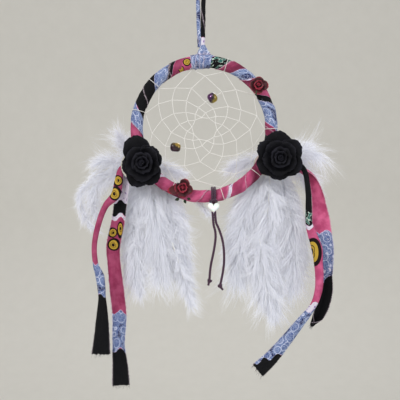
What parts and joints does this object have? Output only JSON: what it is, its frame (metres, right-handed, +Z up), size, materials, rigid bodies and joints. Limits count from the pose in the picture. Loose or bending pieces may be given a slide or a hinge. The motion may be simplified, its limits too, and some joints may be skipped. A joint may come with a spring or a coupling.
{
  "type": "dream catcher",
  "caption": "Wall-hung dream catcher: cloth-wrapped hoop with a knotted thread web and beads, black foam roses, white plumes, printed cloth strips and a heart-bead cord.",
  "frame": {"origin": "the nail's place, at the centre of the bend inside the top of the hanging loop", "axes": "+Z up, +X to the viewer's right, +Y from the viewer into the wall"},
  "size_m": [0.2635, 0.0502, 0.408],
  "materials": {
    "cane": "satin",
    "wrap_cloth": "matte",
    "loop_cloth": "matte",
    "strip_cloth": "matte",
    "thread": "satin",
    "web_bead": "gloss",
    "black_foam": "matte",
    "red_petal": "satin",
    "leaf_cloth": "matte",
    "glue": "satin",
    "plum_cord": "matte",
    "heart_bead": "gloss",
    "plume_down": "matte"
  },
  "bodies": {
    "hanger": {"hang_loop": "loop_cloth", "hang_knot": "loop_cloth"},
    "hoop": {"hoop_core": "cane", "hoop_wrap": "wrap_cloth", "tie_band": "wrap_cloth", "web_thread": "thread", "black_rose_left_outer_petals": "black_foam", "black_rose_left_middle_petals": "black_foam", "black_rose_left_inner_petals": "black_foam", "black_rose_left_bud": "black_foam", "black_rose_right_outer_petals": "black_foam", "black_rose_right_middle_petals": "black_foam", "black_rose_right_inner_petals": "black_foam", "black_rose_right_bud": "black_foam", "red_rose_upper_outer_petals": "red_petal", "red_rose_upper_inner_petals": "red_petal", "red_rose_upper_bud": "red_petal", "red_rose_upper_stem": "leaf_cloth", "red_rose_lower_outer_petals": "red_petal", "red_rose_lower_inner_petals": "red_petal", "red_rose_lower_bud": "red_petal", "red_rose_lower_leaf": "leaf_cloth", "glue_dot_upper": "glue", "glue_dot_lower": "glue", "glue_front_left": "glue", "glue_front_right": "glue", "glue_back_left": "glue", "glue_back_right": "glue", "plume_side_left_upper": "plume_down", "plume_side_left_middle": "plume_down", "plume_side_left_lower": "plume_down", "plume_behind_web_left": "plume_down", "plume_side_right_upper": "plume_down", "plume_side_right_lower": "plume_down", "plume_behind_web_right": "plume_down", "plume_wisp": "plume_down"},
    "bead_upper": {"web_bead_upper": "web_bead"},
    "bead_lower": {"web_bead_lower": "web_bead"},
    "pendant": {"pendant_cord": "plum_cord", "pendant_knot_left": "plum_cord", "pendant_knot_right": "plum_cord"},
    "heart": {"heart_bead": "heart_bead"},
    "cloth_outer_left": {"strip_outer_left": "strip_cloth"},
    "cloth_inner_left": {"strip_inner_left": "strip_cloth"},
    "cloth_inner_right": {"strip_inner_right": "strip_cloth"},
    "cloth_outer_right": {"strip_outer_right": "strip_cloth"},
    "left_plumes": {"plume_left_middle": "plume_down", "plume_left_outer": "plume_down", "plume_left_inner": "plume_down"},
    "right_plumes": {"plume_right_middle": "plume_down", "plume_right_inner": "plume_down", "plume_right_outer": "plume_down"}
  },
  "joints": [
    {"name": "hoop_swing", "type": "hinge", "parent": "hanger", "child": "hoop", "pos_m": [0.0025, 0, -0.0625], "axis": [0, 1, 0], "range_deg": [-15, 15]},
    {"name": "pendant_swing", "type": "hinge", "parent": "hoop", "child": "pendant", "pos_m": [0.0129, 0, -0.2099], "axis": [-1, 0, 0], "range_deg": [0, 35]},
    {"name": "heart_slide", "type": "slide", "parent": "pendant", "child": "heart", "axis": [0, 0, -1], "range_m": [0, 0.004]},
    {"name": "upper_bead_spin", "type": "hinge", "parent": "hoop", "child": "bead_upper", "pos_m": [0.01187, 0, -0.11188], "axis": [-0.8586, 0, -0.5126], "continuous": true},
    {"name": "lower_bead_spin", "type": "hinge", "parent": "hoop", "child": "bead_lower", "pos_m": [-0.02503, 0, -0.16125], "axis": [0.9956, 0, -0.0936], "continuous": true},
    {"name": "outer_left_swing", "type": "hinge", "parent": "hoop", "child": "cloth_outer_left", "pos_m": [-0.0765, -0.004, -0.183], "axis": [0, 1, 0], "range_deg": [0, 10]},
    {"name": "inner_left_swing", "type": "hinge", "parent": "hoop", "child": "cloth_inner_left", "pos_m": [-0.0735, -0.0023, -0.189], "axis": [0, 1, 0], "range_deg": [0, 8]},
    {"name": "inner_right_swing", "type": "hinge", "parent": "hoop", "child": "cloth_inner_right", "pos_m": [0.0985, -0.004, -0.18], "axis": [0, 1, 0], "range_deg": [-8, 8]},
    {"name": "outer_right_swing", "type": "hinge", "parent": "hoop", "child": "cloth_outer_right", "pos_m": [0.0975, -0.0023, -0.183], "axis": [0, 1, 0], "range_deg": [-10, 0]},
    {"name": "left_plumes_swing", "type": "hinge", "parent": "hoop", "child": "left_plumes", "pos_m": [-0.0434, 0.011, -0.186], "axis": [0, 1, 0], "range_deg": [-8, 8]},
    {"name": "right_plumes_swing", "type": "hinge", "parent": "hoop", "child": "right_plumes", "pos_m": [0.0694, 0.011, -0.184], "axis": [0, 1, 0], "range_deg": [-8, 8]}
  ]
}
